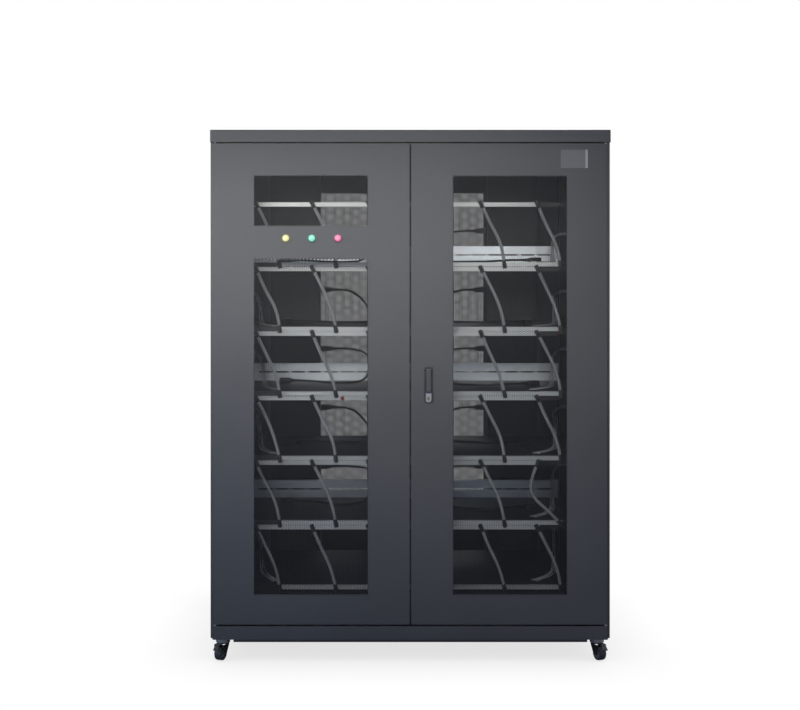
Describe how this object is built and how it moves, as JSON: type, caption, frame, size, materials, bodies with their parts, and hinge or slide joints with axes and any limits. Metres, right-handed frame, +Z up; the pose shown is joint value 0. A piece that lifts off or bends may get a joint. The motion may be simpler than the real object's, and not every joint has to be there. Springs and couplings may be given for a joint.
{
  "type": "liquid cooling cabinet",
  "caption": "Tall floor-standing cabinet on casters with perforated double doors, coolant rails and jumper hoses on shelves, and power columns behind.",
  "frame": {"origin": "on the floor, under the middle of the cabinet's box", "axes": "+Z up, the doors face -Y, +X to the right seen from the front"},
  "size_m": [1.4, 1.0104, 1.86],
  "materials": {
    "cabinet_paint": "fine textured powder coat",
    "frame_paint": "matt black powder coat",
    "mesh_paint": "black powder-coated perforated sheet",
    "stainless": "drawn stainless tube",
    "fitting_plastic": "moulded push-in fitting",
    "galvanised": "galvanised sheet",
    "hose": "grey polyurethane hose",
    "column_paint": "satin dark grey powder coat",
    "black_plastic": "moulded plug",
    "cord_rubber": "black cord jacket",
    "lead_jacket": "grey cable jacket",
    "lamp_yellow": "clear yellow lens",
    "lamp_green": "clear green lens",
    "lamp_red": "clear red lens",
    "plate": "satin anodised plate",
    "handle_black": "black die casting",
    "handle_grey": "grey die casting",
    "chrome": "polished die casting",
    "zinc": "zinc-plated steel",
    "fork_black": "black pressed steel",
    "wheel": "dark grey nylon and rubber",
    "red_plastic": "red valve cap"
  },
  "bodies": {
    "cabinet": {"base_frame": "cabinet_paint", "cable_trays": "galvanised", "caster_plates": "zinc", "cord_connectors": "black_plastic", "corner_posts": "frame_paint", "door_pivots": "zinc", "drip_tray": "cabinet_paint", "floor_plate": "frame_paint", "lead_clips": "black_plastic", "left_power_cords": "cord_rubber", "left_power_plugs": "black_plastic", "left_power_unit": "column_paint", "left_sensor_leads": "lead_jacket", "left_side_panel": "cabinet_paint", "loop_hoses": "hose", "rail_clips": "stainless", "rail_drains": "red_plastic", "rail_support": "frame_paint", "rear_left_mesh": "mesh_paint", "rear_left_panel": "cabinet_paint", "rear_right_mesh": "mesh_paint", "rear_right_panel": "cabinet_paint", "return_fittings": "fitting_plastic", "return_header": "fitting_plastic", "return_rails": "stainless", "right_power_cords": "cord_rubber", "right_power_plugs": "black_plastic", "right_power_unit": "column_paint", "right_sensor_leads": "lead_jacket", "right_side_panel": "cabinet_paint", "roof_cap": "cabinet_paint", "shelves": "frame_paint", "supply_fittings": "fitting_plastic", "supply_header": "fitting_plastic", "supply_rails": "stainless", "top_rails": "frame_paint", "uprights": "frame_paint"},
    "left_door": {"green_lamp": "lamp_green", "left_door_lower_mesh": "mesh_paint", "left_door_panel": "cabinet_paint", "left_door_upper_mesh": "mesh_paint", "red_lamp": "lamp_red", "yellow_lamp": "lamp_yellow"},
    "right_door": {"handle_escutcheon": "handle_black", "latch_rods": "zinc", "lock_case": "zinc", "lock_housing": "chrome", "name_plate": "plate", "right_door_mesh": "mesh_paint", "right_door_panel": "cabinet_paint", "rod_guides": "zinc"},
    "handle": {"handle_lever": "handle_grey"},
    "front_left_fork": {"front_left_fork": "fork_black"},
    "front_left_wheel": {"front_left_wheel": "wheel"},
    "front_right_fork": {"front_right_fork": "fork_black"},
    "front_right_wheel": {"front_right_wheel": "wheel"},
    "rear_left_fork": {"rear_left_fork": "fork_black"},
    "rear_left_wheel": {"rear_left_wheel": "wheel"},
    "rear_right_fork": {"rear_right_fork": "fork_black"},
    "rear_right_wheel": {"rear_right_wheel": "wheel"}
  },
  "joints": [
    {"name": "left_door_hinge", "type": "hinge", "parent": "cabinet", "child": "left_door", "pos_m": [-0.682, -0.48985, 0.132], "axis": [0, 0, -1], "range_deg": [0, 120]},
    {"name": "right_door_hinge", "type": "hinge", "parent": "cabinet", "child": "right_door", "pos_m": [0.682, -0.48985, 0.132], "axis": [0, 0, 1], "range_deg": [0, 120]},
    {"name": "handle_lift", "type": "hinge", "parent": "right_door", "child": "handle", "pos_m": [0.063, -0.5009, 1.02245], "axis": [-1, 0, 0], "range_deg": [0, 40]},
    {"name": "front_left_swivel", "type": "hinge", "parent": "cabinet", "child": "front_left_fork", "pos_m": [-0.659, -0.44685, 0.06], "axis": [0, 0, 1], "continuous": true},
    {"name": "front_left_roll", "type": "hinge", "parent": "front_left_fork", "child": "front_left_wheel", "pos_m": [-0.66574, -0.46354, 0.026], "axis": [0.9272, -0.3746, 0], "continuous": true},
    {"name": "front_right_swivel", "type": "hinge", "parent": "cabinet", "child": "front_right_fork", "pos_m": [0.659, -0.44685, 0.06], "axis": [0, 0, 1], "continuous": true},
    {"name": "front_right_roll", "type": "hinge", "parent": "front_right_fork", "child": "front_right_wheel", "pos_m": [0.66574, -0.46354, 0.026], "axis": [0.9272, 0.3746, 0], "continuous": true},
    {"name": "rear_left_swivel", "type": "hinge", "parent": "cabinet", "child": "rear_left_fork", "pos_m": [-0.659, 0.45715, 0.06], "axis": [0, 0, 1], "continuous": true},
    {"name": "rear_left_roll", "type": "hinge", "parent": "rear_left_fork", "child": "rear_left_wheel", "pos_m": [-0.66574, 0.44046, 0.026], "axis": [0.9272, -0.3746, 0], "continuous": true},
    {"name": "rear_right_swivel", "type": "hinge", "parent": "cabinet", "child": "rear_right_fork", "pos_m": [0.659, 0.45715, 0.06], "axis": [0, 0, 1], "continuous": true},
    {"name": "rear_right_roll", "type": "hinge", "parent": "rear_right_fork", "child": "rear_right_wheel", "pos_m": [0.66574, 0.44046, 0.026], "axis": [0.9272, 0.3746, 0], "continuous": true}
  ]
}
